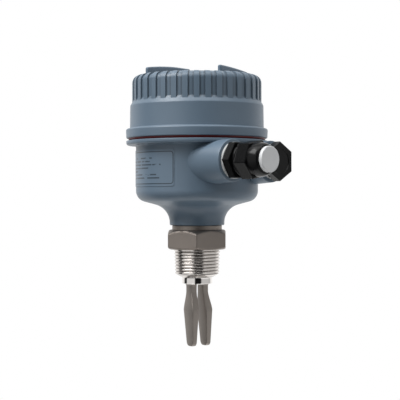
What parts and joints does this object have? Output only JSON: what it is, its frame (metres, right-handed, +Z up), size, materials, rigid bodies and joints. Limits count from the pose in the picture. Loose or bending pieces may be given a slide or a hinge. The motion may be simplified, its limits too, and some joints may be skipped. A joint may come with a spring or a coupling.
{
  "type": "tuning fork level switch",
  "caption": "Point level switch with a round screw-capped housing, cable gland and blanking plug, hexagonal threaded process connection and a vibrating two-tined fork.",
  "frame": {"origin": "centre of the hexagon's lower face, where the process thread begins", "axes": "+Z up the axis from the fork to the cover, +X along the two cable entries"},
  "size_m": [0.1385, 0.1018, 0.2013],
  "materials": {
    "housing_plastic": "satin moulded blue-grey",
    "seal_rubber": "dark red",
    "label_film": "satin film",
    "gland_plastic": "semi-gloss black",
    "washer_plastic": "matt light grey",
    "plug_plastic": "matt light grey",
    "gland_rubber": "matt black",
    "connection_steel": "bead-blasted hexagon, polished thread and tube",
    "fork_steel": "bead-blasted",
    "inner_steel": "plain",
    "ceramic": "matt ceramic",
    "brass": "plain",
    "lead_insulation": "satin",
    "insert_plastic": "matt",
    "board_laminate": "solder mask",
    "terminal_plastic": "matt",
    "switch_plastic": "matt",
    "slider_plastic": "matt",
    "lamp_lens": "clear tinted"
  },
  "bodies": {
    "housing": {"housing_base": "housing_plastic", "housing_wall": "housing_plastic", "housing_rim": "housing_plastic", "entry_bosses": "housing_plastic", "rating_label": "label_film", "gland_body": "gland_plastic", "gland_washer": "washer_plastic", "neck_seal": "gland_rubber", "process_connection": "connection_steel", "fork": "fork_steel", "retaining_nut": "inner_steel", "tension_stud": "inner_steel", "clamp_nut": "inner_steel", "terminal_screws": "inner_steel", "insert_screws": "inner_steel", "piezo_discs": "ceramic", "insulator_rings": "ceramic", "electrode_plates": "brass", "earth_clamp": "brass", "earth_screw": "brass", "sensor_leads": "lead_insulation", "electronics_insert": "insert_plastic", "sensor_header": "insert_plastic", "circuit_board": "board_laminate", "terminal_block": "terminal_plastic", "switch_block": "switch_plastic", "status_lamps": "lamp_lens"},
    "cover_seal": {"cover_seal": "seal_rubber"},
    "cover": {"cover": "housing_plastic"},
    "gland_seal": {"gland_seal": "gland_rubber"},
    "gland_nut": {"gland_nut": "gland_plastic"},
    "gland_plug": {"gland_plug": "plug_plastic"},
    "blanking_washer": {"blanking_washer": "washer_plastic"},
    "blanking_plug": {"blanking_plug": "gland_plastic"},
    "delay_slider": {"delay_slider": "slider_plastic"},
    "density_slider": {"density_slider": "slider_plastic"}
  },
  "joints": [
    {"name": "cover_lift", "type": "slide", "parent": "housing", "child": "cover_seal", "axis": [0, 0, 1], "range_m": [0, 0.0121]},
    {"name": "cover_turn", "type": "hinge", "parent": "cover_seal", "child": "cover", "pos_m": [0, 0, 0.08], "axis": [0, 0, 1], "range_deg": [0, 1080]},
    {"name": "gland_travel", "type": "slide", "parent": "housing", "child": "gland_seal", "axis": [1, 0, 0], "range_m": [0, 0.0076]},
    {"name": "gland_turn", "type": "hinge", "parent": "gland_seal", "child": "gland_nut", "pos_m": [0.07, -0.0194, 0.06207], "axis": [1, 0, 0], "range_deg": [0, 1800]},
    {"name": "plug_pull", "type": "slide", "parent": "gland_seal", "child": "gland_plug", "axis": [1, 0, 0], "range_m": [0, 0.023]},
    {"name": "blank_travel", "type": "slide", "parent": "housing", "child": "blanking_washer", "axis": [1, 0, 0], "range_m": [0, 0.0091]},
    {"name": "blank_turn", "type": "hinge", "parent": "blanking_washer", "child": "blanking_plug", "pos_m": [0.058, 0.0194, 0.06207], "axis": [1, 0, 0], "range_deg": [0, 2160]},
    {"name": "delay_set", "type": "slide", "parent": "housing", "child": "delay_slider", "axis": [0, 1, 0], "range_m": [0, 0.004]},
    {"name": "density_set", "type": "slide", "parent": "housing", "child": "density_slider", "axis": [0, 1, 0], "range_m": [0, 0.004]}
  ],
  "couplings": [
    {"joint": "cover_lift", "follows": "cover_turn", "m_per_rad": 0.00063662},
    {"joint": "gland_travel", "follows": "gland_turn", "m_per_rad": 0.00023873},
    {"joint": "blank_travel", "follows": "blank_turn", "m_per_rad": 0.00023873}
  ]
}
